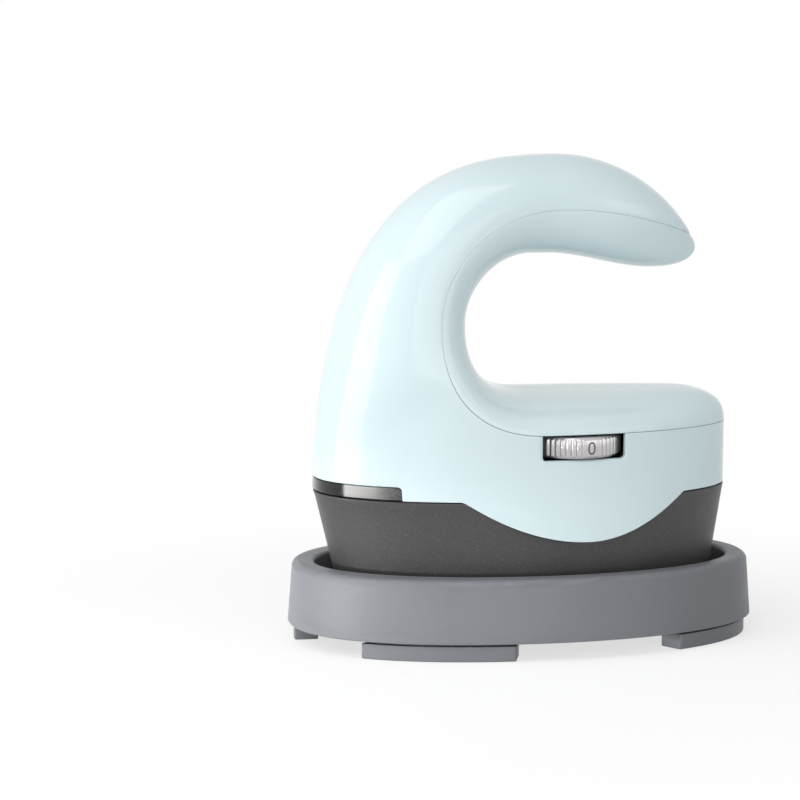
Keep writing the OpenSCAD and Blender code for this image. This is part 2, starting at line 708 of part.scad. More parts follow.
// Gland: neck through the wall, flange behind it
gland_in = body_front - shell_t - 0.5;
gland_back = 8;
module cord_gland() {
    color([0.3, 0.3, 0.32]) translate([0, 0, gland_z]) rotate([0, 90, 0]) difference() {
        union() {
            translate([0, 0, gland_in - 3.8]) cylinder(d = gland_neck_d + 4, h = 2.3);
            translate([0, 0, gland_in - gland_back])
                cylinder(d = gland_neck_d, h = body_front - 0.2 - gland_in + gland_back);
        }
        translate([0, 0, gland_in - 10]) cylinder(d = lead_d, h = 20);
    }
}
// Clamp block that holds the lead on two posts
clamp_h = 9.5;
module cord_clamp() {
    wall = 3.5;
    color([0.86, 0.86, 0.84]) difference() {
        translate([clamp_x - wall, -clamp_y - wall, clamp_post_z])
            cube([2 * wall, 2 * clamp_y + 2 * wall, clamp_h]);
        translate([clamp_x - 5, 0, gland_z]) rotate([0, 90, 0]) cylinder(d = lead_d + 0.2, h = 10);
        for (y = [-1, 1]) translate([clamp_x, y * clamp_y, clamp_post_z - 1])
            cylinder(d = board_screw_d + 0.4, h = clamp_h + 2);
    }
}
module clamp_screws() {
    color(bare_metal) for (y = [-1, 1]) translate([clamp_x, y * clamp_y, clamp_post_z + clamp_h])
        pan_screw(board_screw_d, 15, 5, 1.8);
}

// Leads from the element up to the board
lead_bend = 5;
wire_d = 2;
wire_up = 3;
wire_end_x = board_x[0] + 4;
module heater_leads() {
    start = element_z + pin_d / 2;
    up = part_low + wire_up - lead_bend;
    color([0.9, 0.9, 0.88]) for (y = [-1, 1]) translate([0, y * element_r, 0]) {
        translate([lead_hole_x, 0, start]) cylinder(d = wire_d, h = up - start);
        translate([lead_hole_x + lead_bend, 0, up]) rotate([90, 0, 0]) rotate([0, 0, 90])
            rotate_extrude(angle = 90) translate([lead_bend, 0]) circle(d = wire_d);
        translate([lead_hole_x + lead_bend, 0, up + lead_bend]) rotate([0, 90, 0])
            cylinder(d = wire_d, h = wire_end_x - lead_hole_x - lead_bend);
        translate([wire_end_x, 0, part_low]) cylinder(d = wire_d + 0.6, h = wire_up + 1.4);
        translate([lead_hole_x, 0, element_z]) rotate([0, 90, 0]) difference() {
            translate([0, 0, -2]) cylinder(d = pin_d + 0.9, h = 5);
            translate([0, 0, -3]) cylinder(d = pin_d, h = 7);
        }
    }
}

base_tray();
foot_near_rear();
foot_near_front();
foot_far_rear();
foot_far_front();
outer_shell();
inner_cover();
base_skirt();
indicator_lens();
light_guide();
indicator_board();
indicator_leds();
heating_plate();
heating_element();
element_terminals();
thermistor();
thermal_fuse();
sensor_clips();
sensor_screws();
insulation_pad();
heat_shield();
inner_chassis();
plate_screws();
control_board();
board_screws();
relay();
capacitor();
terminal_block();
rotary_switch();
switch_shaft();
dial_hub();
dial_ring();
cord_gland();
cord_clamp();
clamp_screws();
heater_leads();
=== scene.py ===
# Mini handheld heat press in its safety base: the looks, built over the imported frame.
# Lengths in the dictionaries are millimetres (metres for the floor and the lamps), heights count
# from the table, and angles are degrees.
import json
import math
import bmesh
import bpy
from mathutils import Matrix, Vector


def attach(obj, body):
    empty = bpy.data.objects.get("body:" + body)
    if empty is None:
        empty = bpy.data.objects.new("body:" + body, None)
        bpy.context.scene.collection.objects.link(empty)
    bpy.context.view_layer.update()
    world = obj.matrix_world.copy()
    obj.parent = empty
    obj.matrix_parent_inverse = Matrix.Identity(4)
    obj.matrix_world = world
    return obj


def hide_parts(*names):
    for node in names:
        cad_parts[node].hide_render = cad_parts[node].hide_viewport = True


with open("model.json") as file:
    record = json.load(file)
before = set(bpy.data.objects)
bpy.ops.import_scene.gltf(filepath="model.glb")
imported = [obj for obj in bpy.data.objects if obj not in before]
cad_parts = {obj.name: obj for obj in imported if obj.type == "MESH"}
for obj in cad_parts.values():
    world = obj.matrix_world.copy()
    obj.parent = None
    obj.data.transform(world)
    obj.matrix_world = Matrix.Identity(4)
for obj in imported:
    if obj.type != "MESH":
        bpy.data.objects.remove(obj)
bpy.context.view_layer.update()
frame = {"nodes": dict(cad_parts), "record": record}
mm = 0.001
print("frame loaded:", len(frame["nodes"]), "nodes")

body = {
    "rear": 63.2, "front": 61.2, "width": 65.0,     # reach from the tray's middle, and width
    "partZ": 45.45, "seamZ": 64.3, "deckZ": 73.75,  # parting, seam round the deck, deck
    "lobeX": 13.85, "lobeDrop": 12.3, "lobeRear": 37.4, "lobeFront": 29.6, "lobePower": 1.03, "partRise": 0.45,
    "windowX": -40.3, "windowH": 4.0, "windowR": 1.5,
    "planX": 1.95, "planY": 2.17,                   # exponents of the oval in plan
    "deckFlat": 47.0, "deckPower": 2.35,
}
handle = {
    "top": 143.4, "grip": 35.0, "crownX": 8.9, "browR": 47.5,
    "throatX": 1.35, "throatZ": 93.8, "throatR": 20.45, "roofZ": 114.4, "throatPower": 2.4,
    "spineX": 13.0, "spineZ": 20.0, "spinePower": 2.8,
    "seamBack": 30.35, "seamTopX": 8.0, "seamTopDrop": 15.5, "seamPower": 1.8,
    "noseAngle": 60.4, "noseFrom": 20.0, "chinX": 38.0, "chinDrop": 4.6, "tipZ": 116.0,
    "archLength": 49.0, "crossPower": 2.8, "taper": 1.35, "fanFrom": 56,
    "archPower": 1.93, "roofFlat": 6.0, "seamFlat": 3.0, "nosePower": 2.2,
    "roofShare": 0.6, "chinShare": 0.9, "chinPower": 2.3,   # the grip's underside: ends of its roof and chin
}
stationSteps = {"deck": 60, "fan": 40, "corner": 6, "rear": 24, "spine": 34, "arch": 60, "grip": 90}
halfWidth = body["width"] / 2
spineHeight = handle["top"] - handle["spineZ"]
spineLength = handle["spineX"] + body["rear"]
browZ = handle["top"] - handle["browR"]
seamTopZ = handle["top"] - handle["seamTopDrop"]
nose = math.radians(handle["noseAngle"])
noseX = handle["crownX"] + handle["browR"] * math.sin(nose)
noseZ = browZ + handle["browR"] * math.cos(nose)
chinZ = handle["roofZ"] - handle["chinDrop"]
tipX = handle["crownX"] + math.sqrt(handle["browR"] ** 2 - (handle["tipZ"] - browZ) ** 2)
pathLength = handle["throatZ"] - body["seamZ"] + handle["archLength"]
rightAngle = math.pi / 2


# the body's surfaces: the solids' curves, sampled finely and moved a little towards the photo
def clamp(value, low, high):
    return min(max(value, low), high)


def smooth(value):
    c = clamp(value, 0, 1)
    return c * c * (3 - 2 * c)


def mix(a, b, k):
    return a + (b - a) * k


def mixPoint(a, b, k):
    return mix(a[0], b[0], k), mix(a[1], b[1], k)


def oval(angle, rear, front, side):
    c, s = math.cos(angle), math.sin(angle)
    return ((front if c > 0 else rear) * math.copysign(abs(c) ** (2 / body["planX"]), c),
            side * math.copysign(abs(s) ** (2 / body["planY"]), s))


def ovalWidth(x, rear, front, side):
    reach = front if x > 0 else rear
    return side * max(0, 1 - abs(x / reach) ** body["planX"]) ** (1 / body["planY"])


def rearX(z):
    rise = clamp((z - handle["spineZ"]) / spineHeight, 0, 1)
    power = handle["spinePower"]
    return handle["spineX"] - spineLength * (1 - rise ** power) ** (1 / power)


def partLine(x):
    u = (x - body["lobeX"]) / (body["lobeRear"] if x < body["lobeX"] else body["lobeFront"])
    rise = body["partRise"] * clamp(u, 0, 1) if x > body["lobeX"] else 0
    return body["partZ"] + rise - body["lobeDrop"] * max(0, 1 - u * u) ** body["lobePower"]


def shellEdge(x):
    # raised over the window, with a rounded corner
    high, radius = body["partZ"] + body["windowH"], body["windowR"]
    corner = body["windowX"] - radius
    if x < corner:
        return high
    if x < body["windowX"] - 1e-6:
        return high - radius * (1 - math.sqrt(max(0, 1 - ((x - corner) / radius) ** 2)))
    return partLine(x)


def deckTop(x):
    u = max(0, (x - body["deckFlat"]) / (body["front"] - body["deckFlat"]))
    power = body["deckPower"]
    return body["seamZ"] + (body["deckZ"] - body["seamZ"]) * max(0, 1 - u ** power) ** (1 / power)


def spineWidth(length):
    share = 1 - clamp(length / pathLength, 0, 1)
    return mix(handle["grip"] / 2, halfWidth, share ** handle["taper"])


def fanSide(x, z, angle):
    plan = ovalWidth(x, -rearX(max(z, body["partZ"])), body["front"], halfWidth)
    start = handle["throatX"] - handle["seamBack"]
    k = clamp((start - x) / (start - rearX(z)), 0, 1)
    spine = spineWidth(z - body["seamZ"]) * (1 - k ** body["planX"]) ** (1 / body["planY"])
    turned = (math.degrees(angle) - handle["fanFrom"]) / (90 - handle["fanFrom"])
    return mix(plan, spine, smooth(turned))


def noseWidth(x):
    u = clamp((x - handle["noseFrom"]) / (noseX - handle["noseFrom"]), 0, 1)
    return handle["grip"] / 2 * math.sqrt(1 - u ** handle["nosePower"])


def quarter(angle, reach, height, power):
    return (handle["throatX"] - reach * math.sin(angle) ** (2 / power),
            handle["throatZ"] + height * max(0, math.cos(angle)) ** (2 / power))


# A station is a cut across the C: its points on the seam, the outer profile and the inner profile,
# the half width there, as a function of a point and of its share k of the way outwards,
# and whether the shell stays open at the outer point or closes on the middle plane
def deckStation(angle):
    x = body["front"] * max(0, math.cos(angle)) ** (2 / body["planX"])
    return ((x, body["seamZ"]), (x, partLine(x)), (x, deckTop(x)),
            lambda p, k: ovalWidth(p[0], body["rear"], body["front"], halfWidth), True)


cornerAngle = math.atan((handle["throatX"] + body["rear"]) / (handle["throatZ"] - body["partZ"]))
windowAngle = math.atan((handle["throatX"] - body["windowX"]) / (handle["throatZ"] - body["partZ"]))
windowRoundAngle = math.atan((handle["throatX"] - body["windowX"] + body["windowR"])
                             / (handle["throatZ"] - body["partZ"]))


def fanStation(angle):
    if angle < cornerAngle:
        x = handle["throatX"] - (handle["throatZ"] - body["partZ"]) * math.tan(angle)
        outer = (x, shellEdge(x))
    else:
        z = handle["throatZ"] - (handle["throatX"] + body["rear"]) / math.tan(angle)
        z = max(z, body["partZ"] + body["windowH"])
        outer = (rearX(z), z)
    seam = quarter(angle, handle["seamBack"], body["seamZ"] - handle["throatZ"], handle["throatPower"])
    inner = quarter(angle, handle["throatR"], body["deckZ"] - handle["throatZ"], handle["throatPower"])
    return seam, outer, inner, lambda p, k: fanSide(p[0], p[1], angle), angle < cornerAngle


def acrossSpine(width):
    power, root = body["planX"], 1 / body["planY"]
    return lambda p, k: width * max(0, 1 - max(k, 0) ** power) ** root


def archStation(angle):
    power = handle["spinePower"]
    start = math.asin(((handle["throatZ"] - handle["spineZ"]) / spineHeight) ** (power / 2))
    end = math.acos(((handle["spineX"] - handle["crownX"]) / spineLength) ** (power / 2))
    outerAngle = mix(start, end, angle / rightAngle)
    reach = handle["seamTopX"] - handle["throatX"] + handle["seamBack"]
    seam = (handle["seamTopX"] - reach * math.cos(angle),
            handle["throatZ"] + (seamTopZ - handle["throatZ"]) * math.sin(angle))
    outer = (handle["spineX"] - spineLength * math.cos(outerAngle) ** (2 / power),
             handle["spineZ"] + spineHeight * math.sin(outerAngle) ** (2 / power))
    innerPower = 2 / mix(2, handle["archPower"], math.sin(2 * angle))
    inner = (handle["throatX"] - handle["throatR"] * math.cos(angle) ** innerPower,
             handle["throatZ"] + (handle["roofZ"] - handle["throatZ"]) * math.sin(angle) ** innerPower)
    width = spineWidth(pathLength - handle["archLength"] * (1 - angle / rightAngle))
    return seam, outer, inner, acrossSpine(width), False


def gripInner(u):
    # along the roof, round the chin, then up the brow's end to the nose
    roof, chin, power = handle["roofShare"], handle["chinShare"], 2 / handle["chinPower"]
    if u < roof:
        x = mix(handle["throatX"], handle["chinX"], u / roof)
        rise = smooth((x - handle["roofFlat"]) / (handle["chinX"] - handle["roofFlat"]))
        return x, mix(handle["roofZ"], chinZ, rise)
    if u < chin:
        a = rightAngle * (u - roof) / (chin - roof)
        return (mix(handle["chinX"], tipX, math.sin(a) ** power),
                mix(handle["tipZ"], chinZ, max(0, math.cos(a)) ** power))
    a = mix(math.asin((tipX - handle["crownX"]) / handle["browR"]), nose, (u - chin) / (1 - chin))
    return handle["crownX"] + handle["browR"] * math.sin(a), browZ + handle["browR"] * math.cos(a)


def gripStation(u):
    v = math.sin(rightAngle * u)
    x = mix(handle["seamTopX"], noseX, v)
    start = handle["seamTopX"] + handle["seamFlat"]
    drop = max(0, (x - start) / (noseX - start)) ** handle["seamPower"]
    seam = (x, mix(seamTopZ, noseZ, drop))
    outer = (handle["crownX"] + handle["browR"] * math.sin(nose * v),
             browZ + handle["browR"] * math.cos(nose * v))
    return seam, outer, gripInner(u), acrossSpine(noseWidth(x)), False


def spread(low, high, steps):
    return [mix(low, high, i / steps) for i in range(steps)]


deckEnd = math.acos((handle["throatX"] / body["front"]) ** (body["planX"] / 2))
stations = (
    [deckStation(a) for a in spread(0, deckEnd, stationSteps["deck"])]
    + [fanStation(a) for a in spread(0, windowAngle, stationSteps["fan"])]
    + [fanStation(a) for a in spread(windowAngle, windowRoundAngle, stationSteps["corner"])]
    + [fanStation(a) for a in spread(windowRoundAngle, cornerAngle, stationSteps["rear"])]
    + [fanStation(a) for a in spread(cornerAngle, rightAngle, stationSteps["spine"])]
    + [archStation(a) for a in spread(0, rightAngle, stationSteps["arch"])]
    + [gripStation(u) for u in spread(0, 1, stationSteps["grip"])] + [gripStation(1)])
lastStation = len(stations) - 1


# mesh helpers
bevelSharpAngle = 58


def placedGrid(columns, rows, place):
    # a grid whose vertices go where place(column, row) says
    bm = bmesh.new()
    bmesh.ops.create_grid(bm, x_segments=columns, y_segments=rows, size=0.5)
    for vert in bm.verts:
        i, j = round((vert.co.x + 0.5) * columns), round((vert.co.y + 0.5) * rows)
        vert.co = Vector(place(i, j)) * mm
    return bm


def mergeAndFace(bm, distance=1e-6):
    # closes wraps and poles, then turns every face outwards, going by the face nearest the camera
    bmesh.ops.remove_doubles(bm, verts=bm.verts, dist=distance)
    bmesh.ops.dissolve_degenerate(bm, edges=bm.edges, dist=distance)
    bmesh.ops.recalc_face_normals(bm, faces=bm.faces)
    bm.normal_update()
    near = min(bm.faces, key=lambda f: f.calc_center_median().y)
    if near.normal.y > 0:
        bmesh.ops.reverse_faces(bm, faces=bm.faces)


def mirrorY(bm):
    geometry = bm.verts[:] + bm.edges[:] + bm.faces[:]
    bmesh.ops.mirror(bm, geom=geometry, axis="Y", merge_dist=1e-6)


def newPiece(name, bm, rides, replaced=()):
    mesh = bpy.data.meshes.new(name)
    bm.to_mesh(mesh)
    bm.free()
    piece = bpy.data.objects.new(name, mesh)
    bpy.context.scene.collection.objects.link(piece)
    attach(piece, rides)
    if replaced:
        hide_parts(*replaced)
    return piece


def settle(piece, sharpAngle=38):
    # applies the modifiers and marks the real edges
    graph = bpy.context.evaluated_depsgraph_get()
    graph.update()
    mesh = bpy.data.meshes.new_from_object(piece.evaluated_get(graph))
    piece.modifiers.clear()
    piece.data = mesh
    mesh.shade_smooth()
    mesh.set_sharp_from_angle(angle=math.radians(sharpAngle))
    return piece


def addWall(piece, thickness, edgeRadius, segments=3):
    wall = piece.modifiers.new("wall", "SOLIDIFY")
    wall.thickness = thickness * mm
    wall.offset = -1
    edge = piece.modifiers.new("edge", "BEVEL")
    edge.width = edgeRadius * mm
    edge.segments = segments
    edge.limit_method = "ANGLE"
    edge.angle_limit = math.radians(bevelSharpAngle)
    edge.use_clamp_overlap = True


# outer shell
shell = {"wall": 2.2, "edge": 0.14, "rows": 40}


def shellPoint(i, j):
    seam, outer, _, sideAt, isOpen = stations[i]
    k = math.sin(rightAngle * j / shell["rows"])
    p = mixPoint(seam, outer, k)
    closed = i in (0, lastStation) or (j == shell["rows"] and not isOpen)
    return p[0], 0 if closed else -sideAt(p, k), p[1]


dialSlot = {
    "x": 11.55, "length": 24.8, "height": 7.3, "above": 2.0, "corner": 1.2, "flare": 3.4,
    # the cutter's rings: depth below the wall's face, growth of the outline
    "rings": ((6.0, 0), (0.45, 0), (0.2, 0.08), (0.06, 0.2), (0, 0.32), (-1.5, 0.32)),
}
glandHole = {"z": 55.0, "width": 11.2, "behind": 8.0, "before": 4.0}


def slotCutter():
    # rounded slot, open at the top, whose mouth widens into a small round edge
    rings, corner, half = dialSlot["rings"], dialSlot["corner"], dialSlot["length"] / 2
    low, high = body["seamZ"] - dialSlot["height"], body["seamZ"] + dialSlot["above"]
    outline = [(half, high), (half, low + corner)]
    outline += [(half - corner + corner * math.cos(a), low + corner - corner * math.sin(a))
                for a in spread(0, rightAngle, 5)][1:]
    outline += [(half - corner, low)]
    outline += [(-x, z) for x, z in reversed(outline)]
    count = len(outline)

    def place(i, j):
        x, z = outline[i % count]
        depth, grow = rings[j]
        x += grow if x > 0 else -grow * dialSlot["flare"]
        z -= grow if z < high else 0
        wide = ovalWidth(dialSlot["x"] + x, body["rear"], body["front"], halfWidth)
        return dialSlot["x"] + x, -(wide - depth), z

    bm = placedGrid(count, len(rings) - 1, place)
    bmesh.ops.remove_doubles(bm, verts=bm.verts, dist=1e-7)
    bmesh.ops.holes_fill(bm, edges=[e for e in bm.edges if e.is_boundary])
    bmesh.ops.recalc_face_normals(bm, faces=bm.faces)
    return bm


def cutWith(piece, bm, name):
    mesh = bpy.data.meshes.new(name)
    bm.to_mesh(mesh)
    bm.free()
    cutter = bpy.data.objects.new(name, mesh)
    bpy.context.scene.collection.objects.link(cutter)
    cut = piece.modifiers.new(name, "BOOLEAN")
    cut.operation = "DIFFERENCE"
    cut.solver = "MANIFOLD"
    cut.object = cutter
    settle(piece)
    bpy.data.objects.remove(cutter)


def roundCutter(radius, x0, x1, z):
    bm = bmesh.new()
    bmesh.ops.create_cone(bm, cap_ends=True, segments=64, radius1=radius * mm, radius2=radius * mm,
                          depth=(x1 - x0) * mm)
    turned = Matrix.Translation(Vector(((x0 + x1) / 2, 0, z)) * mm) @ Matrix.Rotation(rightAngle, 4, "Y")
    bmesh.ops.transform(bm, matrix=turned, verts=bm.verts)
    return bm


def makeShell():
    bm = placedGrid(lastStation, shell["rows"], shellPoint)
    mirrorY(bm)
    mergeAndFace(bm)
    piece = newPiece("shellMoulding", bm, "press", ["outer_shell"])
    addWall(piece, shell["wall"], shell["edge"])
    settle(piece)
    cutWith(piece, slotCutter(), "slotCut")
    holeCutter = roundCutter(glandHole["width"] / 2, body["front"] - glandHole["behind"],
                             body["front"] + glandHole["before"], glandHole["z"])
    cutWith(piece, holeCutter, "glandCut")
    return piece


# inner cover
cover = {
    "wall": 2.2, "edge": 0.13, "rows": 44,
    "gap": 0.16, "gapHigh": 0.07, "gapFrom": 70.0, "gapOver": 25.0,   # the seam's gap narrows on its way up
    "frontWay": (0, 1), "noseWay": (0.3, -0.95),                      # across the seam at its two ends
}


def coverPoint(i, j):
    seam, _, inner, sideAt, _ = stations[i]
    way = Vector((inner[0] - seam[0], inner[1] - seam[1]))
    endWay = cover["frontWay"] if i == 0 else cover["noseWay"]
    way = way.normalized() if way.length > 1e-4 else Vector(endWay)
    gap = mix(cover["gap"], cover["gapHigh"], smooth((seam[1] - cover["gapFrom"]) / cover["gapOver"]))
    start = (seam[0] + way.x * gap, seam[1] + way.y * gap)
    a = rightAngle * j / cover["rows"]
    atEnd = i in (0, lastStation)
    p = mixPoint(start, start if atEnd else inner, math.sin(a))
    if atEnd or j == cover["rows"]:
        return p[0], 0, p[1]
    return p[0], -sideAt(p, 0) * math.cos(a) ** (2 / handle["crossPower"]), p[1]


def makeCover():
    bm = placedGrid(lastStation, cover["rows"], coverPoint)
    mirrorY(bm)
    mergeAndFace(bm)
    piece = newPiece("coverMoulding", bm, "press", ["inner_cover"])
    addWall(piece, cover["wall"], cover["edge"])
    return settle(piece)


# skirt
skirt = {
    "footZ": 13.3, "wall": 2.4, "rearInset": 0.7, "rearDraft": 0.243, "frontDraft": 0.15, "sideDraft": 0.16,
    "gap": 0.42, "edge": 0.25, "shelf": 2.9, "lipT": 1.2, "lipH": 2.0, "lipFoot": 2.0, "around": 320,
    "foot": ((0.9, 0), (0.5, 0), (0.15, 0.15), (0, 0.5)),   # round lower edge: inset, lift
    "topEdge": ((0, 1.6), (0, 1), (0.3, 0.3), (1, 0)),      # round upper edge: inset, drop, as shares of "edge"
    "shares": (0.06, 0.15, 0.25, 0.35, 0.45, 0.55, 0.65, 0.75, 0.85, 0.93),
}


def skirtPoint(angle, z, inset):
    drop = max(0, body["partZ"] - z)
    x, y = oval(angle, body["rear"] - skirt["rearInset"] - drop * skirt["rearDraft"] - inset,
                body["front"] - drop * skirt["frontDraft"] - inset,
                halfWidth - drop * skirt["sideDraft"] - inset)
    return x, y, z


def makeSkirt():
    edge, gap, shelf, wall = skirt["edge"], skirt["gap"], skirt["shelf"], skirt["wall"]
    lip = shelf + skirt["lipT"]
    # share of the height, inset, lift: up the outside, over the shelf and its lip, down the inside
    rings = [(0, inset, lift) for inset, lift in skirt["foot"]]
    rings += [(share, 0, 0) for share in skirt["shares"]]
    rings += [(1, edge * inset, -gap - edge * drop) for inset, drop in skirt["topEdge"]]
    rings += [(1, shelf, -gap), (1, shelf, skirt["lipH"]), (1, lip, skirt["lipH"]),
              (1, lip, -skirt["lipFoot"]), (0.5, wall, 0), (0, wall, 0), rings[0]]

    def place(i, j):
        angle = 2 * math.pi * i / skirt["around"]
        share, inset, lift = rings[j]
        top = partLine(oval(angle, body["rear"], body["front"], halfWidth)[0])
        x, y, z = skirtPoint(angle, mix(skirt["footZ"], top, share), inset)
        return x, y, z + lift

    bm = placedGrid(skirt["around"], len(rings) - 1, place)
    mergeAndFace(bm)
    return settle(newPiece("skirtMoulding", bm, "press", ["base_skirt"]))


# indicator window
window = {
    "inset": 0.12, "wall": 1.8, "edge": 0.3, "low": 0.12, "high": 0.3, "end": 0.25, "cornerShare": 0.9,
    "around": 90, "rows": 6,
}


def makeWindow():
    z0, z1 = body["partZ"] + window["low"], body["partZ"] + body["windowH"] - window["high"]

    def place(i, j):
        z = mix(z0, z1, j / window["rows"])
        reach = -rearX(z) - window["inset"]
        cornerX = body["windowX"] - window["end"]
        # the strip's upper corners are rounded, as the opening's are
        rise = clamp((z - z1 + body["windowR"]) / body["windowR"], 0, 1)
        endX = cornerX - body["windowR"] * (1 - math.sqrt(1 - rise * rise)) * window["cornerShare"]
        a = math.acos((-endX / reach) ** (body["planX"] / 2))
        angle = math.pi + mix(-a, a, i / window["around"])
        x, y = oval(angle, reach, reach, halfWidth - window["inset"])
        return x, y, z

    bm = placedGrid(window["around"], window["rows"], place)
    mergeAndFace(bm)
    piece = newPiece("windowStrip", bm, "press", ["indicator_lens"])
    addWall(piece, window["wall"], window["edge"])
    return settle(piece)


# safety base
tray = {
    "x": 0.2, "reach": 69.8, "rearReach": 70.2, "rearPower": 2.26, "innerPower": 2.08, "innerFrom": 0.15,
    "width": 78.5, "top": 23.8, "foot": 5.4, "floor": 3.1, "draft": 1.2, "rim": 6.6,
    "outR": 2.1, "inR": 1.2, "lowR": 0.4, "around": 320,
    "under": (20, 6, 0.5), "middle": 18,   # insets of the rings below the floor and on it
    "wellDraft": 0.2, "well": ((0.4, 0.8), (0.65, 0.25), (1.2, 0)),   # inside the rim: inset, rise
}


def trayOval(angle, inset):
    # fuller at the rear than in front, less so inside the rim
    side = tray["width"] / 2 - inset
    if math.cos(angle) > 0:
        x, y = oval(angle, 1, tray["reach"] - inset, side)
        return x + tray["x"], y
    c, s = abs(math.cos(angle)), math.sin(angle)
    power = 2 / mix(tray["rearPower"], tray["innerPower"], smooth(inset / tray["rim"] - tray["innerFrom"]))
    return tray["x"] - (tray["rearReach"] - inset) * c ** power, side * math.copysign(abs(s) ** power, s)


def makeTray():
    low, top, draft, rim = (tray[k] for k in ("foot", "top", "draft", "rim"))
    lowR, outR, inR = tray["lowR"], tray["outR"], tray["inR"]
    inner, floorZ, centre = draft + rim, low + tray["floor"], tray["width"] / 2
    # inset and height: under the floor, up the outside, over the rim, down to the floor
    profile = [(centre, low)] + [(inset, low) for inset in tray["under"]]
    profile += [(lowR * (1 - math.sin(a)), low + lowR * (1 - math.cos(a))) for a in spread(0, rightAngle, 5)]
    profile += [(0, low + lowR)]
    profile += [(draft * k, mix(low + lowR, top - outR, k)) for k in (0.25, 0.5, 0.75)]
    profile += [(draft + outR * (1 - math.cos(a)), top - outR * (1 - math.sin(a)))
                for a in spread(0, rightAngle, 8)]
    profile += [(draft + outR, top), (mix(outR, rim, 0.5), top)]
    profile += [(inner - inR * (1 - math.cos(a)), top - inR * (1 - math.sin(a)))
                for a in reversed(spread(0, rightAngle, 6)[1:] + [rightAngle])]
    profile += [(inner, top - inR), (inner + tray["wellDraft"], mix(top, floorZ, 0.5))]
    profile += [(inner + inset, floorZ + rise) for inset, rise in tray["well"]]
    profile += [(tray["middle"], floorZ), (centre, floorZ)]

    def place(i, j):
        inset, z = profile[j]
        angle = 2 * math.pi * i / tray["around"]
        if inset >= centre:
            return 0, 0, z
        x, y = trayOval(angle, inset)
        return x, y, z

    bm = placedGrid(tray["around"], len(profile) - 1, place)
    mergeAndFace(bm)
    return settle(newPiece("trayMoulding", bm, "safety_base", ["base_tray"]))


restBlocks = {"x": (-34, 0, 34), "y": (-14, 14), "radius": 4.5, "top": 10.45, "edge": 0.5, "sunk": 0.4}


def makeRestBlocks():
    bm = bmesh.new()
    top, radius = restBlocks["top"], restBlocks["radius"] * mm
    low = tray["foot"] + tray["floor"] - restBlocks["sunk"]
    for x in restBlocks["x"]:
        for y in restBlocks["y"]:
            block = bmesh.ops.create_cone(bm, cap_ends=True, segments=48, radius1=radius, radius2=radius,
                                          depth=(top - low) * mm)
            bmesh.ops.translate(bm, verts=block["verts"], vec=Vector((x, y, (top + low) / 2)) * mm)
    rims = [e for e in bm.edges if min(v.co.z for v in e.verts) > top * mm - 1e-5]
    bmesh.ops.bevel(bm, geom=rims, offset=restBlocks["edge"] * mm, offset_type="OFFSET", segments=3,
                    profile=0.5, affect="EDGES", material=-1)
    return settle(newPiece("restBlocks", bm, "safety_base"))


feet = {
    "inset": 1.7, "width": 7.1, "edge": 0.5, "groove": 0.9, "grooveDepth": 3.0, "steps": 26, "sharpAngle": 40,
    "spans": {
        "foot_near_rear": (-138.1, -96.1), "foot_near_front": (-52.5, -3.9),
        "foot_far_front": (40.6, 80.7), "foot_far_rear": (121.9, 179.6),
    },
}


def makeFoot(node):
    start, end = (math.radians(a) for a in feet["spans"][node])
    steps, shoulder = feet["steps"], tray["foot"] - feet["groove"]
    bm = bmesh.new()
    outline = [trayOval(mix(start, end, i / steps), feet["inset"]) for i in range(steps + 1)]
    outline += [trayOval(mix(end, start, i / steps), feet["inset"] + feet["width"]) for i in range(steps + 1)]
    face = bm.faces.new([bm.verts.new(Vector((x, y, 0)) * mm) for x, y in outline])
    extruded = bmesh.ops.extrude_face_region(bm, geom=[face])["geom"]
    bmesh.ops.translate(bm, verts=[g for g in extruded if isinstance(g, bmesh.types.BMVert)],
                        vec=Vector((0, 0, shoulder)) * mm)
    # a shadow groove under the tray: the top steps in, then goes up
    top = [g for g in extruded if isinstance(g, bmesh.types.BMFace)]
    bmesh.ops.inset_region(bm, faces=top, thickness=feet["grooveDepth"] * mm, use_even_offset=True)
    raised = bmesh.ops.extrude_face_region(bm, geom=top)["geom"]
    bmesh.ops.delete(bm, geom=top, context="FACES")
    bmesh.ops.translate(bm, verts=[g for g in raised if isinstance(g, bmesh.types.BMVert)],
                        vec=Vector((0, 0, feet["groove"])) * mm)
    bmesh.ops.recalc_face_normals(bm, faces=bm.faces)
    bm.normal_update()
    edges = [e for e in bm.edges if e.calc_face_angle() > math.radians(feet["sharpAngle"])
             and min(v.co.z for v in e.verts) < shoulder * mm - 1e-5]
    bmesh.ops.bevel(bm, geom=edges, offset=feet["edge"] * mm, offset_type="OFFSET", segments=3,
                    profile=0.5, affect="EDGES", material=-1)
    return settle(newPiece(node.replace("foot_", "pad_"), bm, "safety_base", [node]))


# thumbwheel
dial = {
    "x": 10.75, "y": -18.5, "radius": 14.4, "hub": 9.0, "low": 57.35, "high": 63.8, "sharpAngle": 50,
    # from the end face to the ridges, over a smooth band: inset, rise, share of the flute's depth
    "edge": ((1.4, 0, 0), (0.95, 0.1, 0), (0.48, 0.36, 0), (0.42, 0.66, 0), (0.08, 0.8, 1), (0, 1.0, 1)),
    "flutes": 54, "fluteDepth": 0.44, "fluteSteps": 8, "flutePower": 1.7,
    "labels": "012", "labelStep": 67.5, "labelAt": -79, "labelHalf": 11.2, "labelBack": 0.1,
    "numberSize": 5.4, "numberRaise": 0.03,
}


def onLabel(degrees):
    gaps = [abs((degrees - dial["labelAt"] + k * dial["labelStep"] + 180) % 360 - 180)
            for k in range(len(dial["labels"]))]
    return min(gaps) < dial["labelHalf"]


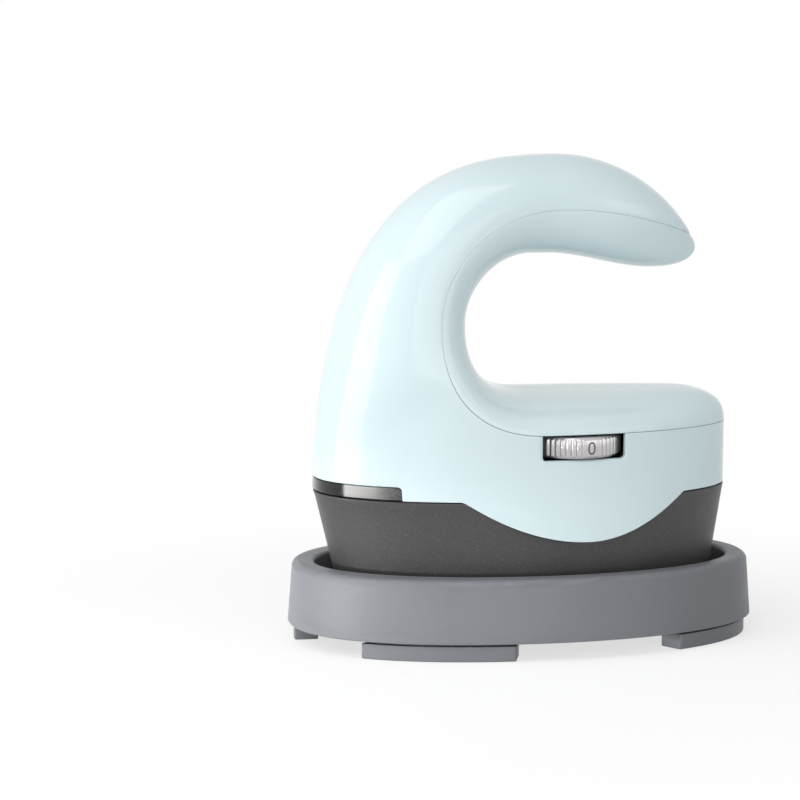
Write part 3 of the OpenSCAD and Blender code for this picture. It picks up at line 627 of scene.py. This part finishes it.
def makeDial():
    low, high, radius = dial["low"], dial["high"], dial["radius"]
    # radius, height, share of the flute's depth
    side = [(radius - inset, low + rise, share) for inset, rise, share in dial["edge"]]
    rest = [(r, low + high - z, share) for r, z, share in reversed(side)]
    profile = [(dial["hub"], low, 0)] + side + [(radius, mix(low, high, 0.5), 1)] + rest
    profile += [(dial["hub"], high, 0), (dial["hub"], low, 0)]
    around = dial["flutes"] * dial["fluteSteps"]

    def place(i, j):
        degrees = 360 * i / around
        r, z, share = profile[j]
        if onLabel(degrees):
            r -= dial["labelBack"] * share
        else:
            fromRidge = abs(2 * ((i / dial["fluteSteps"]) % 1) - 1)
            r -= dial["fluteDepth"] * share * (1 - fromRidge) ** dial["flutePower"]
        a = math.radians(degrees)
        return dial["x"] + r * math.cos(a), dial["y"] + r * math.sin(a), z

    bm = placedGrid(around, len(profile) - 1, place)
    mergeAndFace(bm)
    return settle(newPiece("thumbwheel", bm, "dial", ["dial_ring"]), dial["sharpAngle"])


def makeDialNumbers():
    pieces = []
    for k, number in enumerate(dial["labels"]):
        curve = bpy.data.curves.new("number" + number, "FONT")
        curve.body = number
        curve.size = dial["numberSize"] * mm
        curve.align_x = "CENTER"
        curve.align_y = "CENTER"
        curve.extrude = dial["numberRaise"] * mm
        text = bpy.data.objects.new("number" + number, curve)
        bpy.context.scene.collection.objects.link(text)
        bpy.context.view_layer.update()
        graph = bpy.context.evaluated_depsgraph_get()
        mesh = bpy.data.meshes.new_from_object(text.evaluated_get(graph))
        bpy.data.objects.remove(text)
        lows = [min(v.co[a] for v in mesh.vertices) for a in (0, 1)]
        highs = [max(v.co[a] for v in mesh.vertices) for a in (0, 1)]
        middle = Vector(((lows[0] + highs[0]) / 2, (lows[1] + highs[1]) / 2, 0))
        facing = math.radians(dial["labelAt"] - k * dial["labelStep"])
        radius = (dial["radius"] - dial["labelBack"]) * mm
        for vert in mesh.vertices:
            flat = vert.co - middle
            bend = facing + flat.x / radius
            r = radius + flat.z
            vert.co = Vector((dial["x"] * mm + r * math.cos(bend), dial["y"] * mm + r * math.sin(bend),
                              (dial["low"] + dial["high"]) / 2 * mm + flat.y))
        piece = bpy.data.objects.new("dialNumber" + number, mesh)
        bpy.context.scene.collection.objects.link(piece)
        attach(piece, "dial")
        pieces.append(piece)
    return pieces


# cord inlet: a bush with a flange behind the wall, and a rounded mouth
bush = {
    "z": 55.0, "face": 60.5, "neck": 5.45, "flange": 7.5, "flangeFrom": 55.2, "flangeTo": 57.5, "bore": 3.3,
    "back": 51.0, "rimR": 0.4, "mouthR": 0.7, "around": 72, "sharpAngle": 30,
}


def makeBush():
    face, neck, bore, rim, mouth = (bush[k] for k in ("face", "neck", "bore", "rimR", "mouthR"))
    profile = [(bush["back"], bore), (bush["back"], neck)]
    profile += [(bush["flangeFrom"], neck), (bush["flangeFrom"], bush["flange"]),
                (bush["flangeTo"], bush["flange"]), (bush["flangeTo"], neck), (face - rim, neck)]
    profile += [(face - rim + rim * math.sin(a), neck - rim + rim * math.cos(a))
                for a in spread(0, rightAngle, 4)[1:]] + [(face, neck - rim), (face, bore + mouth)]
    profile += [(face - mouth + mouth * math.cos(a), bore + mouth - mouth * math.sin(a))
                for a in spread(0, rightAngle, 5)[1:]] + [(face - mouth, bore)]
    bm = bmesh.new()
    ring = [bm.verts.new(Vector((x, 0, bush["z"] + r)) * mm) for x, r in profile]
    edges = [bm.edges.new((a, b)) for a, b in zip(ring, ring[1:] + ring[:1])]
    bmesh.ops.spin(bm, geom=ring + edges, cent=Vector((0, 0, bush["z"])) * mm, axis=(1, 0, 0),
                   angle=2 * math.pi, steps=bush["around"], use_merge=True, use_duplicate=False)
    bmesh.ops.remove_doubles(bm, verts=bm.verts, dist=1e-7)
    bmesh.ops.recalc_face_normals(bm, faces=bm.faces)
    return settle(newPiece("inletBush", bm, "press", ["cord_gland"]), bush["sharpAngle"])


shellPiece = makeShell()
coverPiece = makeCover()
skirtPiece = makeSkirt()
windowPiece = makeWindow()
print("housing made")
trayPiece = makeTray()
blockPiece = makeRestBlocks()
footPieces = [makeFoot(node) for node in feet["spans"]]
dialPiece = makeDial()
bushPiece = makeBush()
numberPieces = makeDialNumbers()
print("base and thumbwheel made")


# materials
mixFirst, mixSecond, mixResult = 6, 7, 2   # the colour sockets of a mix node


def makeGroup(name, inputs, outputs):
    group = bpy.data.node_groups.new(name, "ShaderNodeTree")
    for label, kind, value in inputs:
        socket = group.interface.new_socket(name=label, in_out="INPUT", socket_type=kind)
        socket.default_value = value
    for label, kind in outputs:
        group.interface.new_socket(name=label, in_out="OUTPUT", socket_type=kind)
    return group, group.nodes.new("NodeGroupInput"), group.nodes.new("NodeGroupOutput")


def addNode(tree, kind, **values):
    node = tree.nodes.new(kind)
    for key, value in values.items():
        if key in node.inputs.keys():
            node.inputs[key].default_value = value
        else:
            setattr(node, key, value)
    return node


def mathNode(tree, operation, first, second=None):
    node = tree.nodes.new("ShaderNodeMath")
    node.operation = operation
    for socket, value in zip(node.inputs, (first, second)):
        if hasattr(value, "links"):
            tree.links.new(value, socket)
        elif value is not None:
            socket.default_value = value
    return node.outputs[0]


def mapRange(tree, value, low, high, toLow, toHigh):
    node = tree.nodes.new("ShaderNodeMapRange")
    tree.links.new(value, node.inputs["Value"])
    for label, amount in (("From Min", low), ("From Max", high), ("To Min", toLow), ("To Max", toHigh)):
        if hasattr(amount, "links"):
            tree.links.new(amount, node.inputs[label])
        else:
            node.inputs[label].default_value = amount
    return node.outputs["Result"]


def makeMouldedGroup():
    # slow shade drift, roughness drift and a fine grain, as moulded plastic has
    group, start, end = makeGroup(
        "mouldedSurface",
        [("Grain Scale", "NodeSocketFloat", 3000.0), ("Drift Scale", "NodeSocketFloat", 25.0),
         ("Roughness Low", "NodeSocketFloat", 0.2), ("Roughness High", "NodeSocketFloat", 0.3)],
        [("Drift", "NodeSocketFloat"), ("Roughness", "NodeSocketFloat"), ("Grain", "NodeSocketFloat")])
    place = addNode(group, "ShaderNodeTexCoord").outputs["Object"]
    drift = addNode(group, "ShaderNodeTexNoise", Detail=2.0)
    grain = addNode(group, "ShaderNodeTexNoise", Detail=3.0, Roughness=0.6)
    patches = addNode(group, "ShaderNodeTexNoise", Detail=4.0, Scale=140.0)
    for node in (drift, grain, patches):
        group.links.new(place, node.inputs["Vector"])
    group.links.new(start.outputs["Drift Scale"], drift.inputs["Scale"])
    group.links.new(start.outputs["Grain Scale"], grain.inputs["Scale"])
    group.links.new(drift.outputs["Fac"], end.inputs["Drift"])
    rough = mapRange(group, patches.outputs["Fac"], 0.3, 0.7,
                     start.outputs["Roughness Low"], start.outputs["Roughness High"])
    group.links.new(rough, end.inputs["Roughness"])
    group.links.new(grain.outputs["Fac"], end.inputs["Grain"])
    return group


def makeSparkleGroup():
    # metal flakes in a dark lacquer: small cells, each with its own tilt and strength
    group, start, end = makeGroup(
        "metalFlakes",
        [("Scale", "NodeSocketFloat", 3400.0), ("Share", "NodeSocketFloat", 0.3),
         ("Size", "NodeSocketFloat", 0.42)],
        [("Mask", "NodeSocketFloat"), ("Tilt", "NodeSocketFloat")])
    place = addNode(group, "ShaderNodeTexCoord").outputs["Object"]
    cells = addNode(group, "ShaderNodeTexVoronoi")
    group.links.new(place, cells.inputs["Vector"])
    group.links.new(start.outputs["Scale"], cells.inputs["Scale"])
    parts = addNode(group, "ShaderNodeSeparateColor")
    group.links.new(cells.outputs["Color"], parts.inputs["Color"])
    chosen = mathNode(group, "LESS_THAN", parts.outputs["Red"], start.outputs["Share"])
    near = mathNode(group, "LESS_THAN", cells.outputs["Distance"], start.outputs["Size"])
    bright = mathNode(group, "MULTIPLY", chosen, near)
    level = mathNode(group, "MULTIPLY", bright, parts.outputs["Green"])
    group.links.new(level, end.inputs["Mask"])
    slope = addNode(group, "ShaderNodeTexNoise", Detail=1.0)
    group.links.new(place, slope.inputs["Vector"])
    group.links.new(start.outputs["Scale"], slope.inputs["Scale"])
    group.links.new(slope.outputs["Fac"], end.inputs["Tilt"])
    return group


moulded = makeMouldedGroup()
flakes = makeSparkleGroup()


def toLinear(level):
    return level / 12.92 if level <= 0.04045 else ((level + 0.055) / 1.055) ** 2.4


def colour(red, green, blue):
    return tuple(toLinear(c / 255) for c in (red, green, blue)) + (1.0,)


def shade(rgba, factor):
    return tuple(min(1, c * factor) for c in rgba[:3]) + (1.0,)


def mixColours(tree, share, first, second):
    node = addNode(tree, "ShaderNodeMix", data_type="RGBA")
    for socket, value in ((0, share), (mixFirst, first), (mixSecond, second)):
        if hasattr(value, "links"):
            tree.links.new(value, node.inputs[socket])
        else:
            node.inputs[socket].default_value = value
    return node.outputs[mixResult]


def makeMaterial(name, tone, tone2=None, rough=(0.3, 0.4), grain=3000, drift=25, bump=0.05, bumpDistance=0.02,
                 metallic=0.0, coat=0.0, coatRoughness=0.05, ior=1.46, specular=0.5,
                 flakeShare=0, flakeTone=None, flakeTilt=1.5, turn=0):
    material = bpy.data.materials.new(name)
    material.use_nodes = True
    tree = material.node_tree
    shader = tree.nodes["Principled BSDF"]
    surface = addNode(tree, "ShaderNodeGroup", node_tree=moulded)
    for label, value in (("Grain Scale", grain), ("Drift Scale", drift),
                         ("Roughness Low", rough[0]), ("Roughness High", rough[1])):
        surface.inputs[label].default_value = value
    drifted = mapRange(tree, surface.outputs["Drift"], 0.3, 0.7, 0, 1)
    result = mixColours(tree, drifted, tone, tone2 or shade(tone, 0.95))
    height = surface.outputs["Grain"]
    if flakeShare:
        speck = addNode(tree, "ShaderNodeGroup", node_tree=flakes)
        speck.inputs["Share"].default_value = flakeShare
        result = mixColours(tree, speck.outputs["Mask"], result, flakeTone)
        height = mathNode(tree, "ADD", height, mathNode(tree, "MULTIPLY", speck.outputs["Tilt"], flakeTilt))
    tree.links.new(result, shader.inputs["Base Color"])
    tree.links.new(surface.outputs["Roughness"], shader.inputs["Roughness"])
    relief = addNode(tree, "ShaderNodeBump", Strength=bump, Distance=bumpDistance * mm)
    tree.links.new(height, relief.inputs["Height"])
    if turn:
        # a lens whose face curves a little tighter than the wall round it
        bent = addNode(tree, "ShaderNodeVectorRotate", rotation_type="Z_AXIS", Angle=math.radians(turn))
        tree.links.new(addNode(tree, "ShaderNodeNewGeometry").outputs["Normal"], bent.inputs["Vector"])
        tree.links.new(bent.outputs[0], relief.inputs["Normal"])
    tree.links.new(relief.outputs["Normal"], shader.inputs["Normal"])
    for label, value in (("Metallic", metallic), ("IOR", ior), ("Specular IOR Level", specular),
                         ("Coat Weight", coat), ("Coat Roughness", coatRoughness)):
        shader.inputs[label].default_value = value
    return material


# painted reflection of the left softbox in the window's colour: where it starts and ends, and how it fades and
# turns grainy
paintedReflection = {
    "tone": colour(166, 165, 163), "start": -55.8, "end": -42.0, "blur": 0.3, "left": 0.28,
    "grainLength": 6.0, "grainShare": 0.7, "grainScale": 2600.0,
}


def addPaintedReflection(material):
    tree = material.node_tree
    baseColour = tree.nodes["Principled BSDF"].inputs["Base Color"]
    place = addNode(tree, "ShaderNodeTexCoord").outputs["Object"]
    axes = addNode(tree, "ShaderNodeSeparateXYZ")
    tree.links.new(place, axes.inputs[0])
    along, start, end = axes.outputs["X"], paintedReflection["start"], paintedReflection["end"]
    starts = mapRange(tree, along, (start - paintedReflection["blur"]) * mm, (start + paintedReflection["blur"]) * mm, 0, 1)
    fades = mapRange(tree, along, start * mm, end * mm, 1, paintedReflection["left"])
    coarse = mapRange(tree, along, (end - paintedReflection["grainLength"]) * mm, end * mm, 0, paintedReflection["grainShare"])
    grain = addNode(tree, "ShaderNodeTexNoise", Scale=paintedReflection["grainScale"], Detail=2.0)
    tree.links.new(place, grain.inputs["Vector"])
    speckle = mapRange(tree, grain.outputs["Fac"], 0.4, 0.6, 0, 1)
    kept = mathNode(tree, "SUBTRACT", 1.0, mathNode(tree, "MULTIPLY", coarse, speckle))
    mask = mathNode(tree, "MULTIPLY", mathNode(tree, "MULTIPLY", starts, fades), kept)
    # mixes a pale painted reflection into the window's base colour: sharp at its rear edge, fading forwards,
    # grainy at its front end
    tree.links.new(mixColours(tree, mask, baseColour.links[0].from_socket, paintedReflection["tone"]), baseColour)


finishes = {
    "shell_blue": dict(tone=colour(206, 222, 225), tone2=colour(203, 220, 223), rough=(0.08, 0.13), grain=2500,
                       bump=0.03, drift=18, specular=0.42),
    "skirt_grey": dict(tone=colour(64, 64, 64), tone2=colour(59, 59, 59), rough=(0.4, 0.48), grain=2600,
                       bump=0.3, bumpDistance=0.05,
                       flakeShare=0.16, flakeTone=colour(98, 98, 98), flakeTilt=0.6),
    "base_grey": dict(tone=colour(117, 119, 123), tone2=colour(113, 115, 119), rough=(0.36, 0.44), grain=3200,
                      bump=0.12, bumpDistance=0.03, specular=0.2),
    "window_smoke": dict(tone=colour(30, 29, 29), tone2=colour(24, 24, 24), rough=(0.05, 0.09), grain=2200,
                         bump=0.02, ior=1.38, turn=-7),
    "dial_silver": dict(tone=colour(192, 189, 190), tone2=colour(185, 183, 184), rough=(0.22, 0.3), grain=4000,
                        bump=0.02, metallic=0.75),
    "hub_black": dict(tone=colour(62, 62, 64), rough=(0.45, 0.55), grain=2500, bump=0.2),
    "diffuser_white": dict(tone=colour(236, 235, 229), rough=(0.4, 0.5), grain=1500, bump=0.1),
    "board_green": dict(tone=colour(48, 104, 66), tone2=colour(40, 92, 58), rough=(0.3, 0.4), grain=900,
                        bump=0.15),
    "plate_metal": dict(tone=colour(196, 197, 200), tone2=colour(184, 185, 189), rough=(0.28, 0.42), grain=1800,
                        bump=0.1, metallic=1.0, drift=60),
    "element_metal": dict(tone=colour(112, 108, 104), tone2=colour(94, 86, 80), rough=(0.3, 0.5), grain=1500,
                          bump=0.12, metallic=1.0, drift=120),
    "screw_steel": dict(tone=colour(186, 187, 190), rough=(0.22, 0.34), grain=2600, bump=0.06, metallic=1.0),
    "sensor_glass": dict(tone=colour(196, 128, 74), rough=(0.06, 0.12), grain=900, bump=0.03, coat=0.6),
    "pad_felt": dict(tone=colour(228, 224, 210), tone2=colour(214, 209, 193), rough=(0.8, 0.95), grain=700,
                     bump=0.8, bumpDistance=0.2, drift=90),
    "chassis_white": dict(tone=colour(222, 222, 217), rough=(0.4, 0.5), grain=2200, bump=0.12),
    "relay_blue": dict(tone=colour(44, 84, 150), rough=(0.25, 0.35), grain=2600, bump=0.08),
    "capacitor_yellow": dict(tone=colour(214, 184, 70), rough=(0.15, 0.25), grain=1200, bump=0.05),
    "switch_black": dict(tone=colour(52, 52, 56), rough=(0.35, 0.45), grain=2600, bump=0.12),
    "gland_grey": dict(tone=colour(198, 208, 211), rough=(0.35, 0.45), grain=1800, bump=0.2, bumpDistance=0.03),
    "lead_white": dict(tone=colour(230, 230, 226), tone2=colour(220, 220, 214), rough=(0.45, 0.6), grain=1400,
                       bump=0.3),
}
materials = {name: makeMaterial(name, **values) for name, values in finishes.items()}
# the window's colour carries a painted reflection of the left softbox
addPaintedReflection(materials["window_smoke"])
numberInk = makeMaterial("numberInk", colour(96, 92, 94), rough=(0.4, 0.5), grain=3000, bump=0.1)


def paint(piece, material):
    piece.data.materials.clear()
    piece.data.materials.append(material)


paint(shellPiece, materials["shell_blue"])
paint(coverPiece, materials["shell_blue"])
paint(skirtPiece, materials["skirt_grey"])
paint(windowPiece, materials["window_smoke"])
paint(dialPiece, materials["dial_silver"])
paint(bushPiece, materials["gland_grey"])
for piece in [trayPiece, blockPiece] + footPieces:
    paint(piece, materials["base_grey"])
for piece in numberPieces:
    paint(piece, numberInk)
for part in frame["record"]["subparts"]:
    node = frame["nodes"][part["node"]]
    for materialSlot in node.material_slots:
        materialSlot.material = materials[part["material_slot"]]
print("materials made")

# floor, world, lamps and camera
stage = {
    "floorSize": 30.0, "floor": 0.85, "floorRough": 0.9, "shadowShare": 0.32, "shadowReach": (0.075, 0.2),
    "world": 0.34, "worldTone": (0.97, 0.985, 1, 1), "white": 1.0,
}
lamps = {
    # name: place, aim and size in metres, power, spread in degrees
    "stripLeft": ((-0.345, -0.07, 0.167), (0, 0, 0.167), (0.2, 0.33), 0.73, 180),
    "topSoft": ((-0.5, -0.5, 1.2), (0, 0, 0.05), (1.0, 1.0), 7.3, 180),
    "frontSoft": ((-0.15, -1.6, 0.55), (0, 0, 0.07), (1.0, 1.0), 4.9, 180),
    "fillRight": ((0.75, -1.0, 0.45), (0, 0, 0.07), (0.7, 0.7), 2.3, 180),
    "lowLeft": ((-0.62, -0.26, 0.008), (-0.045, -0.02, 0.01), (0.18, 0.03), 0.032, 9),
}


def whiteToCamera(tree, shown, lit):
    # mixes two shaders: what the camera, gloss and glass see, and what lights the object
    rays = addNode(tree, "ShaderNodeLightPath")
    seen = mathNode(tree, "MAXIMUM", rays.outputs["Is Camera Ray"], rays.outputs["Is Glossy Ray"])
    seen = mathNode(tree, "MAXIMUM", seen, rays.outputs["Is Transmission Ray"])
    blend = addNode(tree, "ShaderNodeMixShader")
    tree.links.new(seen, blend.inputs[0])
    tree.links.new(lit, blend.inputs[1])
    tree.links.new(shown, blend.inputs[2])
    return blend.outputs[0]


def makeWorld():
    world = bpy.data.worlds.new("studio")
    bpy.context.scene.world = world
    world.use_nodes = True
    tree = world.node_tree
    tree.nodes.clear()
    shown = addNode(tree, "ShaderNodeBackground", Color=(1, 1, 1, 1), Strength=stage["white"])
    lit = addNode(tree, "ShaderNodeBackground", Color=stage["worldTone"], Strength=stage["world"])
    end = addNode(tree, "ShaderNodeOutputWorld")
    tree.links.new(whiteToCamera(tree, shown.outputs[0], lit.outputs[0]), end.inputs["Surface"])


def makeFloor():
    bm = bmesh.new()
    bmesh.ops.create_grid(bm, x_segments=1, y_segments=1, size=stage["floorSize"] / 2)
    mesh = bpy.data.meshes.new("floor")
    bm.to_mesh(mesh)
    bm.free()
    floor = bpy.data.objects.new("floor", mesh)
    bpy.context.scene.collection.objects.link(floor)
    material = bpy.data.materials.new("paleFloor")
    material.use_nodes = True
    tree = material.node_tree
    shader = tree.nodes["Principled BSDF"]
    level = stage["floor"]
    shader.inputs["Base Color"].default_value = (level, level, level, 1)
    shader.inputs["Roughness"].default_value = stage["floorRough"]
    shader.inputs["Specular IOR Level"].default_value = 0.0
    # seen by the camera it is white, with a share of the lit floor for the shadow near the object
    glow = addNode(tree, "ShaderNodeEmission", Color=(1, 1, 1, 1), Strength=stage["white"])
    pale = addNode(tree, "ShaderNodeBsdfDiffuse", Color=(1, 1, 1, 1))
    away = addNode(tree, "ShaderNodeVectorMath", operation="LENGTH")
    tree.links.new(addNode(tree, "ShaderNodeTexCoord").outputs["Object"], away.inputs[0])
    near, far = stage["shadowReach"]
    share = mapRange(tree, away.outputs["Value"], near, far, stage["shadowShare"], 0)
    shown = addNode(tree, "ShaderNodeMixShader")
    tree.links.new(share, shown.inputs[0])
    tree.links.new(glow.outputs[0], shown.inputs[1])
    tree.links.new(pale.outputs[0], shown.inputs[2])
    end = tree.nodes["Material Output"]
    tree.links.new(whiteToCamera(tree, shown.outputs[0], shader.outputs[0]), end.inputs["Surface"])
    mesh.materials.append(material)


def makeLamps():
    for name, (place, aim, size, power, cone) in lamps.items():
        data = bpy.data.lights.new(name, "AREA")
        data.spread = math.radians(cone)
        data.shape = "RECTANGLE"
        data.size, data.size_y = size
        data.energy = power
        lamp = bpy.data.objects.new(name, data)
        lamp.location = place
        lamp.visible_camera = False
        lamp.rotation_euler = (Vector(aim) - Vector(place)).to_track_quat("-Z", "Y").to_euler()
        bpy.context.scene.collection.objects.link(lamp)


view = {
    "azimuth": 9.683, "pitch": 7.907, "roll": 0.086, "focal": 2684.0, "pixels": 800,   # focal length in pixels
    "place": (-168.5, -772.0, 180.0), "sensor": 36.0,
}


def makeCamera():
    data = bpy.data.cameras.new("camera")
    data.sensor_width = view["sensor"]
    data.lens = view["focal"] / view["pixels"] * data.sensor_width
    data.clip_start = 0.01
    data.clip_end = 20
    camera = bpy.data.objects.new("camera", data)
    azimuth, pitch, roll = (math.radians(view[k]) for k in ("azimuth", "pitch", "roll"))
    rotation = (Matrix.Rotation(-azimuth, 3, "Z") @ Matrix.Rotation(rightAngle - pitch, 3, "X")
                @ Matrix.Rotation(roll, 3, "Z"))
    camera.matrix_world = Matrix.Translation(Vector(view["place"]) * mm) @ rotation.to_4x4()
    bpy.context.scene.collection.objects.link(camera)
    bpy.context.scene.camera = camera


makeWorld()
makeFloor()
makeLamps()
makeCamera()
bpy.context.scene.view_settings.view_transform = "Standard"
print("scene ready")
